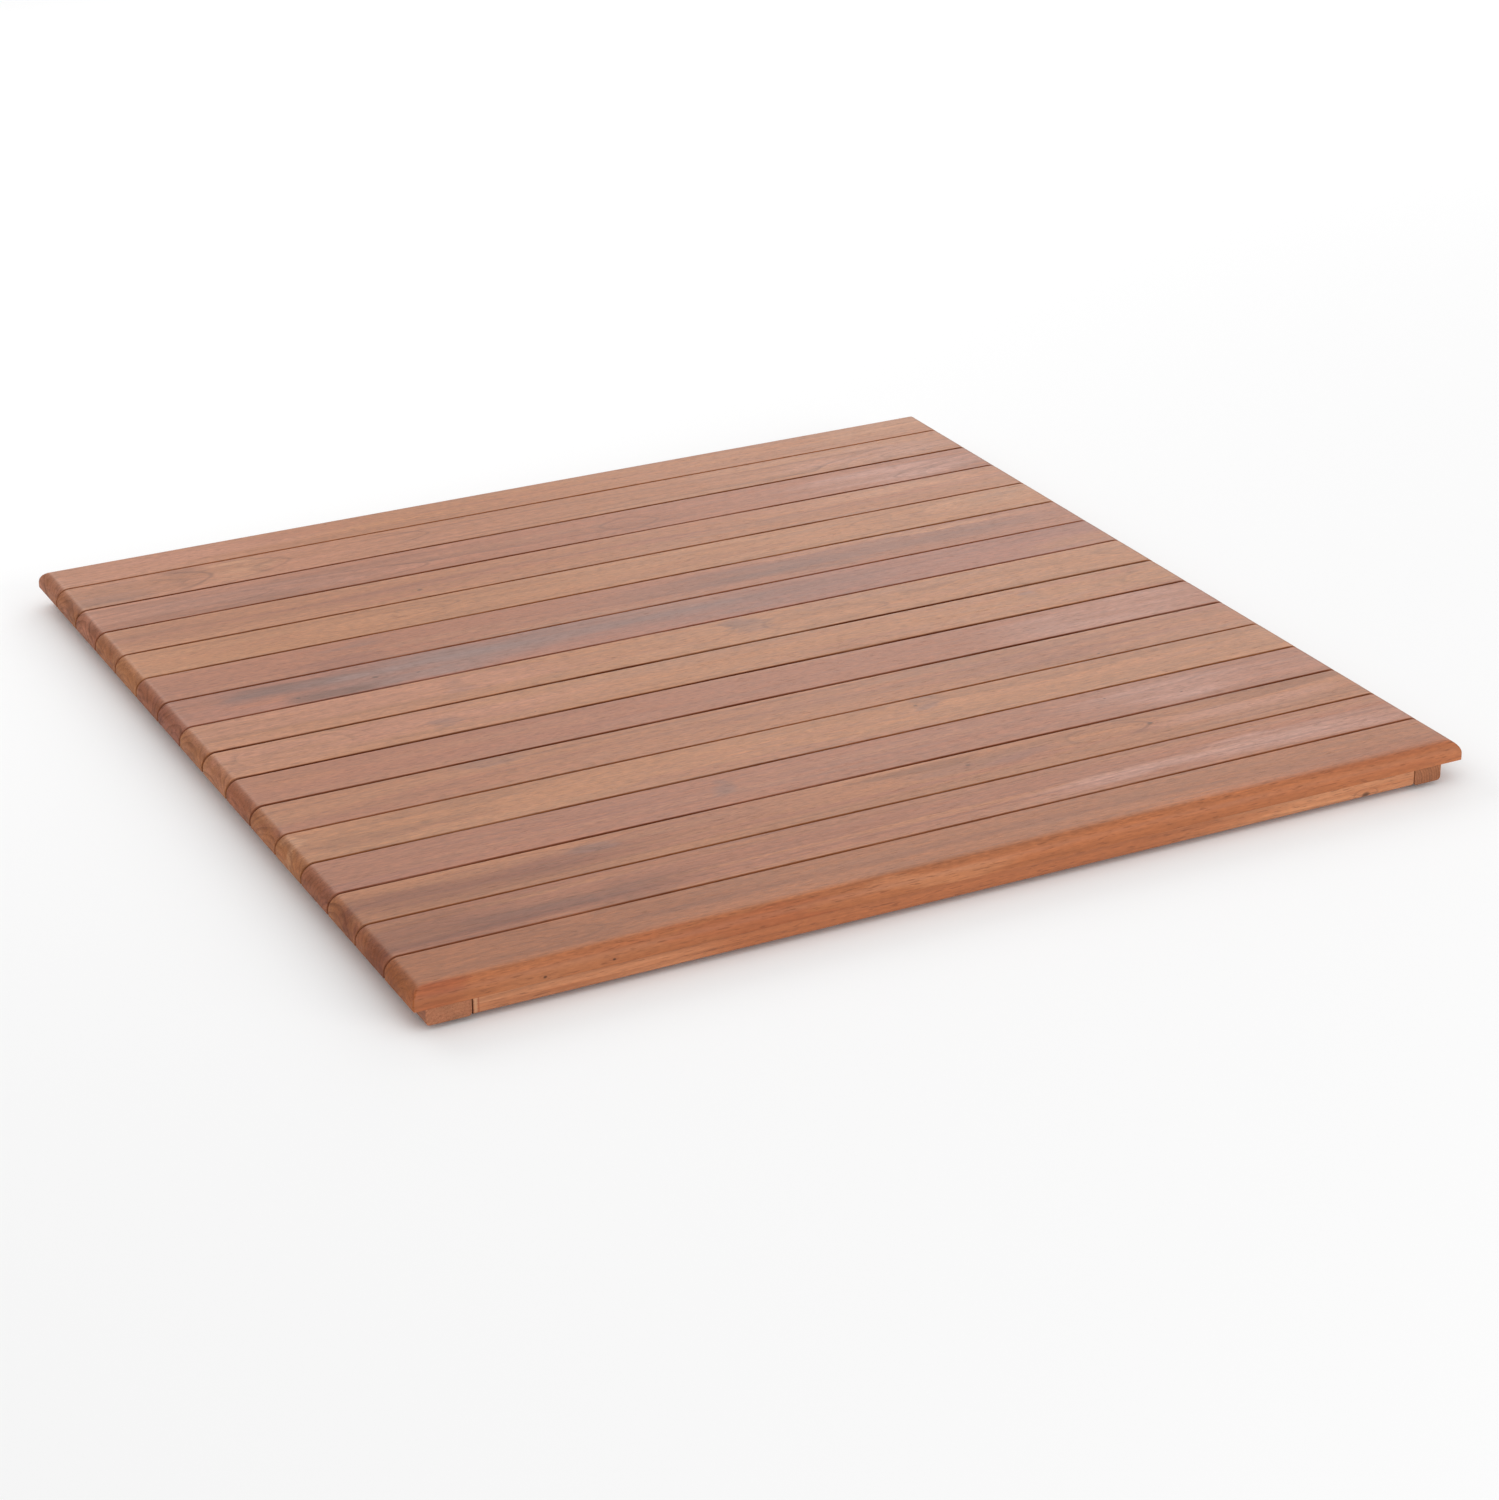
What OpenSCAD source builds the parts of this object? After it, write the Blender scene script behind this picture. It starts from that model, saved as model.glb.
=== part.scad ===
// Square duckboard bath mat. Round-edged hardwood slats lie side by side on a low frame of
// rails, fixed from below with countersunk screws, and the frame stands on rubber feet.
// X runs along the slats, Y runs across them from front to back, Z is up. The origin is on
// the floor, at the middle of the footprint. All sizes are in millimetres.

/* [Mat] */
// Length of the slats, left to right
mat_length = 600; // [450:10:900]
// Depth of the mat across the slats, front to back
mat_depth = 600; // [450:10:900]
// Number of slats
slat_count = 16; // [10:1:20]
// Thickness of a slat
slat_thickness = 11; // [10:0.5:16]
// Drain gap between neighbouring slats
slat_gap = 1.0; // [0.6:0.1:4]

/* [Edges] */
// Round-over along the whole top rim
rim_radius = 8; // [3:0.5:9]
// Easing of the slat edges that meet at a gap
arris_radius = 0.8; // [0.4:0.1:1.5]
// Easing of the slats' lower edges and upright corners
lower_radius = 0.8; // [0.4:0.1:1.5]

/* [Frame] */
// Height of every rail
rail_height = 9; // [8:0.5:20]
// Width of the left cross rail; cross rails run front to back
left_rail_width = 23.5; // [16:0.5:40]
// Width of the right cross rail
right_rail_width = 17; // [16:0.5:40]
// Width of the cross rails between them
inner_rail_width = 20; // [16:0.5:40]
// Depth of the front and back rails, which run along the slats
edge_rail_depth = 20; // [16:1:32]
// Overhang of the slats beyond the left cross rail
left_overhang = 6; // [2:0.5:30]
// Overhang of the slats beyond the right cross rail
right_overhang = 13.5; // [2:0.5:30]
// Number of cross rails between the left and right ones
inner_rail_count = 2; // [1:1:4]
// Easing of the rails' lower edges
rail_radius = 2.5; // [0.5:0.5:3]
// Glue line at each end of the front, back and inner rails
rail_joint = 0.3; // [0.1:0.1:1]

/* [Screws] */
// Overall length of a screw
screw_length = 16; // [12:0.5:17]
// Diameter of a screw's shank
screw_diameter = 3; // [2.5:0.5:4]
// Diameter of a screw's countersunk head
head_diameter = 6; // [5:0.5:8]
// Screws in the front rail, and again in the back rail
edge_screw_count = 6; // [3:1:8]

/* [Feet] */
// Diameter of a rubber foot
foot_diameter = 12; // [8:1:16]
// Height of a rubber foot
foot_height = 2.5; // [2:0.5:6]
// Slats from the mat's front and back rims to the outer feet
foot_inset_slats = 2; // [1:1:4]

/* [Hidden] */
$fn = 64;
overcut = 1; // how far a cutter runs past the surface it cuts

half_length = mat_length / 2;
half_depth = mat_depth / 2;

slat_pitch = (mat_depth + slat_gap) / slat_count;
slat_width = slat_pitch - slat_gap;

rail_base = foot_height;
slat_base = rail_base + rail_height;
slat_top = slat_base + slat_thickness;

head_height = (head_diameter - screw_diameter) / 2; // a 90 degree head
head_recess = 0.3; // how far a head sits above the rail's lower face
screw_clearance = 0.1; // between a screw and its hole, on the radius
tip_height = 2.5; // pointed end of a screw
tip_room = 0.5; // empty end of a pilot hole
recess_span = 3.4; // cross recess in a screw head
recess_slot = 0.7;
recess_depth = 1.1;

foot_edge = 0.6; // easing of a foot's lower edge
foot_draft = 0.5; // a foot's top is this much wider than its sole, on the radius

cross_rail_count = inner_rail_count + 2;
left_rail = 1;
right_rail = cross_rail_count;
first_rail_x = -half_length + left_overhang + left_rail_width / 2;
last_rail_x = half_length - right_overhang - right_rail_width / 2;
rail_spacing = (last_rail_x - first_rail_x) / (cross_rail_count - 1);

// The front and back rails fit between the left and right ones
between_left = -half_length + left_overhang + left_rail_width;
between_right = half_length - right_overhang - right_rail_width;
edge_rail_length = between_right - between_left - 2 * rail_joint;
edge_rail_x = (between_left + between_right) / 2;
edge_screw_pitch = edge_rail_length / edge_screw_count;
inner_rail_length = mat_depth - 2 * edge_rail_depth - 2 * rail_joint;

// Joint lines between slats that have feet below them: near the front, in the middle, near the back
foot_joints = [foot_inset_slats, floor(slat_count / 2), slat_count - foot_inset_slats];
feet_per_rail = len(foot_joints);

SLAT_COLOR = "rosybrown";
RAIL_COLOR = "peru";
SCREW_COLOR = "silver";
FOOT_COLOR = "dimgray";

function two_digits(n) = str(n < 10 ? "0" : "", n);
function slat_y(i) = -half_depth + slat_width / 2 + (i - 1) * slat_pitch;
function joint_y(i) = -half_depth + i * slat_pitch - slat_gap / 2;
function rail_x(i) = first_rail_x + (i - 1) * rail_spacing;
function is_inner(i) = i > left_rail && i < right_rail;
function cross_rail_width(i) = i == left_rail ? left_rail_width
    : i == right_rail ? right_rail_width : inner_rail_width;
function rail_name(i) = i == left_rail ? "left_rail" : i == right_rail ? "right_rail"
    : str("inner_rail_", i - 1);

// An inner rail stops short of the first and last slats' centre lines, so it has no screw there
function rail_screws(i) = [
    for (s = [1 : slat_count]) if (!is_inner(i) || (s > 1 && s < slat_count)) [rail_x(i), slat_y(s)]
];
function edge_screws(y) = [
    for (k = [1 : edge_screw_count])
        [edge_rail_x + (k - (edge_screw_count + 1) / 2) * edge_screw_pitch, y]
];
front_rail_y = -half_depth + edge_rail_depth / 2;
back_rail_y = -front_rail_y;
all_screws = concat(
    [for (i = [1 : cross_rail_count]) each rail_screws(i)],
    edge_screws(front_rail_y),
    edge_screws(back_rail_y)
);

SLATS = [for (i = [1 : slat_count]) str("slat_", two_digits(i))];
CROSS_RAILS = [for (i = [1 : cross_rail_count]) rail_name(i)];
FEET = [for (i = [1 : cross_rail_count * feet_per_rail]) str("foot_", two_digits(i))];

// ---- Shared shapes ----

// Rectangle with its lower left corner at the origin and its four corners rounded by true
// arcs: radii go anticlockwise from the lower left
module eased_rectangle(size, radii) {
    corners = [[0, 0], [size.x, 0], size, [0, size.y]];
    difference() {
        square(size);
        for (k = [0 : 3])
            if (radii[k] > 0)
                translate(corners[k])
                    rotate(90 * k)
                        corner_waste(radii[k]);
    }
}

// What a rounding takes off a corner that points down and to the left
module corner_waste(radius) {
    difference() {
        translate([-overcut, -overcut])
            square(radius + overcut);
        translate([radius, radius])
            circle(radius);
    }
}

// A bar along X whose end view and side view are both eased rectangles
module eased_bar(length, width, height, end_radii, side_radii) {
    intersection() {
        translate([-length / 2, -width / 2, 0])
            rotate([90, 0, 90])
                linear_extrude(length)
                    eased_rectangle([width, height], end_radii);
        translate([-length / 2, width / 2 + overcut, 0])
            rotate([90, 0, 0])
                linear_extrude(width + 2 * overcut)
                    eased_rectangle([length, height], side_radii);
    }
}

// Places children, which point up from the rails' lower face, at a list of X, Y positions
module at_each(places) {
    for (place = places)
        translate([place.x, place.y, rail_base])
            children();
}

// ---- Slats ----

// The first and last slats carry the rim's round-over along their outer edge, and below it
// their face runs on flush into the rail's
module slat(i) {
    is_first = i == 1;
    is_last = i == slat_count;
    edge_radii = [
        is_first ? 0 : lower_radius,
        is_last ? 0 : lower_radius,
        is_last ? rim_radius : arris_radius,
        is_first ? rim_radius : arris_radius
    ];
    color(SLAT_COLOR)
        difference() {
            translate([0, slat_y(i), slat_base])
                intersection() {
                    eased_bar(mat_length, slat_width, slat_thickness,
                        edge_radii,
                        [lower_radius, lower_radius, rim_radius, rim_radius]);
                    upright_corners();
                }
            at_each([for (p = all_screws) if (abs(p.y - slat_y(i)) < slat_width / 2) p])
                pilot_hole();
        }
}

// Plan view of a slat with its four upright corners eased
module upright_corners() {
    translate([-half_length, -slat_width / 2, -overcut])
        linear_extrude(slat_thickness + 2 * overcut)
            eased_rectangle([mat_length, slat_width], lower_radius * [1, 1, 1, 1]);
}

module pilot_hole() {
    cylinder(h = head_recess + screw_length + tip_room, d = screw_diameter + 2 * screw_clearance);
}

// ---- Rails ----

// Clearance hole through a rail, with a countersink for the head
module screw_hole() {
    head_radius = head_diameter / 2 + screw_clearance;
    shank_radius = screw_diameter / 2 + screw_clearance;
    translate([0, 0, -overcut])
        cylinder(h = rail_height + 2 * overcut, r = shank_radius);
    translate([0, 0, -overcut])
        cylinder(h = overcut + head_recess, r = head_radius);
    translate([0, 0, head_recess])
        cylinder(h = head_radius - shank_radius, r1 = head_radius, r2 = shank_radius);
}

// Every rail's lower edges are eased and its upper edges, under the slats, are square
module rail(length, width) {
    eased_bar(length, width, rail_height,
        [rail_radius, rail_radius, 0, 0],
        [lower_radius, lower_radius, 0, 0]);
}

module cross_rail(i) {
    length = is_inner(i) ? inner_rail_length : mat_depth;
    color(RAIL_COLOR)
        difference() {
            translate([rail_x(i), 0, rail_base])
                rotate(90)
                    rail(length, cross_rail_width(i));
            at_each(rail_screws(i))
                screw_hole();
        }
}

module edge_rail(y) {
    color(RAIL_COLOR)
        difference() {
            translate([edge_rail_x, y, rail_base])
                rail(edge_rail_length, edge_rail_depth);
            at_each(edge_screws(y))
                screw_hole();
        }
}

// ---- Screws ----

// Countersunk wood screw pointing up, with its head just inside the rail's lower face
module screw() {
    shank_radius = screw_diameter / 2;
    shank_length = screw_length - head_height - tip_height;
    translate([0, 0, head_recess])
        difference() {
            union() {
                cylinder(h = head_height, d1 = head_diameter, d2 = screw_diameter);
                translate([0, 0, head_height])
                    cylinder(h = shank_length, r = shank_radius);
                translate([0, 0, head_height + shank_length])
                    cylinder(h = tip_height, r1 = shank_radius, r2 = 0.2);
            }
            cross_recess();
        }
}

module cross_recess() {
    for (turn = [0, 90])
        rotate(turn)
            translate([-recess_span / 2, -recess_slot / 2, -overcut])
                cube([recess_span, recess_slot, recess_depth + overcut]);
}

module screws(places) {
    color(SCREW_COLOR)
        at_each(places)
            screw();
}

// ---- Feet ----

// Rubber button under a cross rail: i counts front to back, then rail by rail from the left
module foot(i) {
    rail_index = floor((i - 1) / feet_per_rail) + 1;
    joint = foot_joints[(i - 1) % feet_per_rail];
    color(FOOT_COLOR)
        translate([rail_x(rail_index), joint_y(joint), 0])
            rotate_extrude()
                foot_half_section();
}

module foot_half_section() {
    top_radius = foot_diameter / 2;
    sole_radius = top_radius - foot_draft;
    difference() {
        polygon([[0, 0], [sole_radius, 0], [top_radius, foot_height], [0, foot_height]]);
        translate([sole_radius, 0])
            mirror([1, 0])
                corner_waste(foot_edge);
    }
}

// ---- Nodes ----

for (i = [1 : slat_count])
    slat(i);
for (i = [1 : cross_rail_count])
    cross_rail(i);
edge_rail(front_rail_y);  // front_rail
edge_rail(back_rail_y);  // back_rail
for (i = [1 : cross_rail_count])
    screws(rail_screws(i));
screws(edge_screws(front_rail_y));  // screws_front_rail
screws(edge_screws(back_rail_y));  // screws_back_rail
for (i = [1 : len(FEET)])
    foot(i);
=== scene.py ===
"""Looks for the slatted bath mat: solid-wood slats and rails, steel screws and rubber feet.

X runs along the slats, Y across them from front to back, Z up, in metres. Every piece is built
around the CAD node that it replaces, and sizes and places come from the nodes' boxes.
"""

import math

import bmesh
import bpy
from mathutils import Matrix, Vector, noise


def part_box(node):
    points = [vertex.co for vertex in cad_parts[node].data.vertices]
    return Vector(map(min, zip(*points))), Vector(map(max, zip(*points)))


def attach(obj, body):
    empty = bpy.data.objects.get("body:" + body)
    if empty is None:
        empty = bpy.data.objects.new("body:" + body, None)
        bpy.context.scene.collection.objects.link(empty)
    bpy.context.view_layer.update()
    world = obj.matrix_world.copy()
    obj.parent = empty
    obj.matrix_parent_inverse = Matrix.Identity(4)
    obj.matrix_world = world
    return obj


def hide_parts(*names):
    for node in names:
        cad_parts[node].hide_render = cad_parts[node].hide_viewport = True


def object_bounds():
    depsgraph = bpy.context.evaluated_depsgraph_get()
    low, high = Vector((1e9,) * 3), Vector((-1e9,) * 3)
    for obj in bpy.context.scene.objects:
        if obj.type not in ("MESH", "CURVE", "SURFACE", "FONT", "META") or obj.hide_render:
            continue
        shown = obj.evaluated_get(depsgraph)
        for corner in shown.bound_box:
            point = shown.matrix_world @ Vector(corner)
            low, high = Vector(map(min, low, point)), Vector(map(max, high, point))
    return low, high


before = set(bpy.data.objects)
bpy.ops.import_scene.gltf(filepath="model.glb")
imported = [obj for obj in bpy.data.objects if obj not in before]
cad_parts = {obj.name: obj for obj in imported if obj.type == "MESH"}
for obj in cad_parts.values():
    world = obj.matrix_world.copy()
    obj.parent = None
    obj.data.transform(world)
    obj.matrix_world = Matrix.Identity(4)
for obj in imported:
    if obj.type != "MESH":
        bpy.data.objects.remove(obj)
cad_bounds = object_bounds()

MM = 0.001
BODY = "root"

SLATS = sorted(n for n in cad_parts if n.startswith("slat_"))
EDGE_RAILS = ["front_rail", "back_rail"]

RIM_RADIUS = 8 * MM  # round-over along the mat's whole upper rim
LOWER_EDGE = 0.8 * MM  # easing of lower edges and upright corners
RAIL_EDGE = 2.5 * MM  # easing of the rails' lower long edges
SCREW_CLEARANCE = 0.1 * MM
HEAD_RECESS = 0.3 * MM  # how far a screw head sits above the rail's lower face
CREASE = 0.25 * MM  # blend where two round-overs meet at a corner of the mat
ARRIS_MOST = 2 * MM  # an upper long edge with a smaller radius than this is only eased
SLAT_HOLLOW = 0.16 * MM  # the most that a slat's top is out of flat
RAIL_CORNER = 0.3 * MM  # easing of a rail's upright corners
BOARD_STEP = 8 * MM  # spacing of a board's grid points along it, away from its ends
WIDTH_STEP = 3.5 * MM  # and across it, away from its edges
SHARP_ANGLE = math.radians(40)
FIRST_RAIL_SEED = 31

# The joints from front to back: how far each of the two edges stands back from its CAD face and
# how far it is eased, in millimetres, and how strongly soiling and painted shade darken the joint
SEAMS = [(0.0, 0.5, 0.65), (0.0, 0.5, 0.6), (0.15, 0.7, 0.9), (0.0, 0.6, 0.75), (0.0, 0.5, 0.55),
         (0.2, 0.7, 1.0), (0.25, 0.9, 1.2), (0.25, 0.8, 1.15), (0.0, 0.6, 0.55), (0.0, 0.6, 0.6),
         (0.0, 0.6, 0.7), (0.0, 0.5, 0.75), (0.0, 0.6, 0.85), (0.1, 0.6, 0.9), (0.0, 0.3, 0.3)]


# ---- Materials ----


class Graph:
    """A material's node tree, with a short method for each kind of node used here. A method
    takes constants as well as the outputs of other nodes."""

    def __init__(self, name):
        self.material = bpy.data.materials.new(name)
        self.material.use_nodes = True
        self.tree = self.material.node_tree
        self.shader = self.tree.nodes["Principled BSDF"]

    def node(self, kind, **settings):
        made = self.tree.nodes.new(kind)
        for key, value in settings.items():
            setattr(made, key, value)
        return made

    def feed(self, socket, value):
        """Links a socket to another node's output, or sets it to a constant."""
        if isinstance(value, bpy.types.NodeSocket):
            self.tree.links.new(value, socket)
        else:
            socket.default_value = value

    def math(self, operation, *values, clamp=False):
        made = self.node("ShaderNodeMath", operation=operation, use_clamp=clamp)
        for socket, value in zip(made.inputs, values):
            self.feed(socket, value)
        return made.outputs[0]

    def add(self, a, b):
        return self.math("ADD", a, b)

    def scale(self, a, factor):
        return self.math("MULTIPLY", a, factor)

    def vector(self, operation, a, b):
        made = self.node("ShaderNodeVectorMath", operation=operation)
        self.feed(made.inputs[0], a)
        self.feed(made.inputs[1], b)
        return made.outputs["Value" if operation in ("LENGTH", "DOT_PRODUCT") else "Vector"]

    def split(self, vector):
        made = self.node("ShaderNodeSeparateXYZ")
        self.feed(made.inputs[0], vector)
        return made.outputs

    def join(self, x, y, z):
        made = self.node("ShaderNodeCombineXYZ")
        for socket, value in zip(made.inputs, (x, y, z)):
            self.feed(socket, value)
        return made.outputs[0]

    def noise(self, where, stretch, detail=2.0, roughness=0.5, seed=0.0, output="Fac"):
        """Noise about 0.5, with this many features per metre along each axis."""
        made = self.node("ShaderNodeTexNoise", noise_dimensions="3D")
        shifted = self.vector("ADD", self.vector("MULTIPLY", where, stretch),
                              (seed * 7.31, seed * 3.17, seed * 5.77))
        self.feed(made.inputs["Vector"], shifted)
        made.inputs["Scale"].default_value = 1.0
        made.inputs["Detail"].default_value = detail
        made.inputs["Roughness"].default_value = roughness
        return made.outputs[output]

    def noise_1d(self, w, detail=2.0, roughness=0.5):
        made = self.node("ShaderNodeTexNoise", noise_dimensions="1D")
        self.feed(made.inputs["W"], w)
        made.inputs["Scale"].default_value = 1.0
        made.inputs["Detail"].default_value = detail
        made.inputs["Roughness"].default_value = roughness
        return made.outputs["Fac"]

    def ramp(self, value, low, high, to_low=0.0, to_high=1.0, smooth=True):
        """Maps low..high to to_low..to_high, clamped at both ends."""
        made = self.node("ShaderNodeMapRange",
                         interpolation_type="SMOOTHSTEP" if smooth else "LINEAR")
        for socket, given in zip(made.inputs, (value, low, high, to_low, to_high)):
            self.feed(socket, given)
        return made.outputs[0]

    def mix(self, factor, a, b, blend="MIX"):
        made = self.node("ShaderNodeMix", data_type="RGBA", blend_type=blend)
        self.feed(made.inputs["Factor"], factor)
        self.feed(made.inputs["A"], a)
        self.feed(made.inputs["B"], b)
        return made.outputs["Result"]

    def bump(self, height, distance):
        made = self.node("ShaderNodeBump")
        self.feed(made.inputs["Height"], height)
        made.inputs["Distance"].default_value = distance
        return made.outputs[0]


def rgb(red, green, blue):
    """An sRGB colour, 0 to 255, as the linear RGBA that a node takes."""
    def linear(c):
        c /= 255
        return c / 12.92 if c <= 0.04045 else ((c + 0.055) / 1.055) ** 2.4
    return (linear(red), linear(green), linear(blue), 1.0)


# Colours of the wood, of what stains or marks it, and of the painted shade and sheen put on it
TAN = rgb(166, 105, 68)
GOLD = rgb(171, 111, 70)
ROSE = rgb(158, 96, 68)
MAUVE = rgb(140, 84, 66)
GREY = rgb(122, 88, 80)
SLATE = rgb(96, 74, 72)
# grey wood with a painted bluish sheen on it
BLUISH_GREY_AND_SHEEN = rgb(134, 108, 104)
UMBER = rgb(88, 48, 31)
KNOT = rgb(50, 26, 17)
# soiling together with painted shade, for the drain gaps
GRIME_AND_SHADE = rgb(96, 44, 22)
# paler tint for upward faces: wear together with painted sheen
WORN_AND_SHEEN = rgb(206, 168, 144)
RED_BROWN = rgb(150, 70, 40)
AMBER = rgb(178, 104, 60)
PALE = rgb(192, 138, 100)
PINK = rgb(180, 120, 96)
# painted sheen: a pale tint standing for reflected light
PAINTED_SHEEN = rgb(182, 134, 120)
# painted shade for the round-over where a long face turns into an end
ROUND_OVER_SHADE = rgb(104, 56, 32)
END_PAINTED_LIGHT = (1.12, 1.14, 1.14, 1.0)  # painted light: how much lighter the ends are painted, making up for their shade, before they are stained
END_SHEEN = 0.12  # the most gloss that an end has

GRAIN_SWING = 14 * MM  # how far the grain wanders over a board's length
GRAIN_RIPPLE = 2.6 * MM  # how far it wanders over a few centimetres


class Look:
    """How one board looks. Places along the board run from 0 to 1, left to right or front to
    back; places across it, and up through it, run from -1 to 1."""

    def __init__(self, base, streak, heart=(0.3, -1.6), slope=(0.0, 0.0), rings=3.2, lines=0.5,
                 bands=0.5, wander=1.0, curl=0.0, eyes=(), arches=(), patches=(), knots=(),
                 stripes=(), tone=1.0, end_tone=0.5, sheen=0.5):
        self.base, self.streak = base, streak  # the two main colours
        self.heart = heart  # the tree's centre, across and up, in half widths of the board
        self.slope = slope  # how the centre drifts over the board's length, in half widths
        self.rings = rings  # growth ring spacing, in millimetres
        self.lines = lines  # strength of the ring lines
        self.bands = bands  # how much the second colour shows
        self.wander = wander  # how much the grain wanders
        self.curl = curl  # strength of a ribbon figure across the grain
        self.eyes = eyes  # (along, across, half length, half width, rings): ovals in the grain
        # (along, across, half width, length of the bend, which way it opens, strength): thin
        # curved lines, where a growth ring breaks out of the face
        self.arches = arches
        self.patches = patches  # (along, across, half length, half width, colour, strength)
        self.knots = knots  # (along, across, up, radius in millimetres)
        self.stripes = stripes  # (along, half width in millimetres, colour): lines across the board
        self.tone = tone  # overall lightness
        self.end_tone = end_tone  # how dark the ends are, from 0 to 1, in their stain and in the painted shade on their round-overs
        self.sheen = sheen  # gloss of the long faces


class Timber(Graph):
    """The material of one board: oiled hardwood, solid right through, with its grain along X or
    Y. The methods that take a colour each add one thing to it and hand it on."""

    def __init__(self, name, node, look, seed, lengthways):
        super().__init__(name)
        self.look, self.seed = look, seed
        low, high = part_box(node)
        centre, half = (low + high) / 2, (high - low) / 2
        length, width = (0, 1) if lengthways == "X" else (1, 0)
        self.half_length, self.half_width, self.half_height = half[length], half[width], half[2]

        place = self.node("ShaderNodeTexCoord").outputs["Object"]
        local = self.split(self.vector("SUBTRACT", place, centre))
        self.x, self.y, self.z = local[length], local[width], local[2]
        self.grain = self.join(self.x, self.y, self.z)
        self.along = self.add(self.scale(self.x, 0.5 / self.half_length), 0.5)
        self.from_middle = self.add(self.along, -0.5)
        self.across = self.scale(self.y, 1 / self.half_width)
        self.up = self.scale(self.z, 1 / self.half_height)

        normal = self.split(self.node("ShaderNodeNewGeometry").outputs["Normal"])
        self.level = normal[2]  # 1 on an upper face, -1 on a lower one
        self.not_below = self.ramp(self.level, -0.9, -0.4)
        self.facing = self.math("ABSOLUTE", normal[length])  # 1 on an end, 0 on a long face
        self.end = self.ramp(self.facing, 0.30, 0.80)

        # Noises that more than one method uses
        self.streak = self.field(3.0, 95, 5.5, detail=4.0, roughness=0.62)
        self.blotch = self.field(7.0, 30, 8.8)
        self.fibre = self.field(16, 700, 1.7, detail=3.0, roughness=0.65)
        self.pores = self.ramp(self.field(130, 1500, 9.9, detail=1.0), 0.60, 0.72)
        self.tear = self.scale(self.add(self.field(14, 110, 6.1, detail=3.0), -0.5), 1.3)
        push = self.split(self.field(11, 75, 7.7, output="Color"))
        self.push = self.add(push[0], -0.5), self.add(push[1], -0.5)

    def field(self, along, across, shift=0.0, detail=2.0, roughness=0.5, output="Fac"):
        """Noise in the wood, with this many features per metre along and across the grain."""
        return self.noise(self.grain, (along, across, across), detail, roughness,
                          self.seed + shift, output)

    def spot(self, where, place, reach):
        """1 at a place on the board, falling smoothly to 0 at its reach. All three are given
        along, across and, if it matters, up."""
        far = 0.0
        for axis, centre, size in zip(where, place, reach):
            off = self.scale(self.add(axis, -centre), 1 / size)
            far = self.add(far, self.scale(off, off))
        return self.ramp(far, 0.0, 1.0, 1.0, 0.0)

    def knot_reach(self, size, stretch, spread):
        """The reach of a knot of this radius, stretched along the board and spread around it."""
        return (size * stretch * MM / (2 * self.half_length), size * spread * MM / self.half_width,
                size * spread * MM / self.half_height)

    def ring_offset(self, place, slope, heart, wandering):
        """Distance from the tree's centre along one direction, with its drift and wander."""
        leaning = self.add(place, self.scale(self.from_middle, -slope * self.half_width))
        swing = self.scale(self.add(wandering, -0.5), self.look.wander * GRAIN_SWING)
        return self.add(self.add(leaning, swing), -heart * self.half_width)

    def growth_rings(self):
        """Counts the rings outwards from the tree's centre, with ovals and knots pushed into
        them."""
        look, one_ring = self.look, self.look.rings * MM
        drift = self.split(self.field(2.2, 16, detail=1.0, output="Color"))
        offset = self.join(self.ring_offset(self.y, look.slope[0], look.heart[0], drift[0]),
                           self.ring_offset(self.z, look.slope[1], look.heart[1], drift[1]), 0.0)
        radius = self.vector("LENGTH", offset, (0, 0, 0))
        ripple = self.add(self.field(9, 70, 0.4), -0.5)
        radius = self.add(radius, self.scale(ripple, look.wander * GRAIN_RIPPLE))
        where = (self.along, self.across, self.up)
        self.figured = 0.0  # 1 inside an oval
        for along, across, length, width, rings in look.eyes:
            bulge = self.spot(where, (along, across), (length, width))
            radius = self.add(radius, self.scale(bulge, rings * one_ring))
            self.figured = self.math("MAXIMUM", self.figured, self.ramp(bulge, 0.0, 0.25))
        for *place, size in look.knots:
            bulge = self.spot(where, place, self.knot_reach(size, 5, 2.2))
            radius = self.add(radius, self.scale(bulge, 1.5 * one_ring))
        return self.scale(radius, 1 / one_ring)

    def late_wood(self, count):
        """Each ring darkens towards its end, more in some rings and places than in others."""
        phase = self.math("FRACT", count)
        self.late = self.scale(self.ramp(phase, 0.35, 0.93), self.ramp(phase, 0.93, 1.0, 1.0, 0.0))
        strength = self.ramp(self.noise_1d(self.scale(count, 0.61)), 0.35, 0.7)
        strength = self.math("MAXIMUM", strength, self.scale(self.figured, 0.4))
        patchy = self.ramp(self.field(5, 30, 2.2, detail=1.0), 0.28, 0.55)
        patchy = self.math("MAXIMUM", patchy, self.scale(self.figured, 0.7))
        return self.scale(self.late, self.scale(strength, patchy))

    def main_colours(self, count):
        """Broad bands of the second colour follow the rings, and streaks run with the grain."""
        look = self.look
        tint = self.noise_1d(self.add(self.scale(count, 0.33), self.seed * 11.0), detail=3.0,
                             roughness=0.6)
        share = self.add(self.add(self.scale(tint, 0.40), self.scale(self.streak, 0.40)),
                         self.scale(self.blotch, 0.20))
        share = self.ramp(share, 0.635 - 0.26 * look.bands, 0.765 - 0.26 * look.bands)
        pale = self.ramp(self.field(4.0, 60, 3.9, detail=3.0), 0.5, 0.8)
        return self.mix(self.scale(pale, 0.35), self.mix(share, look.base, look.streak), PALE)

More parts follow.
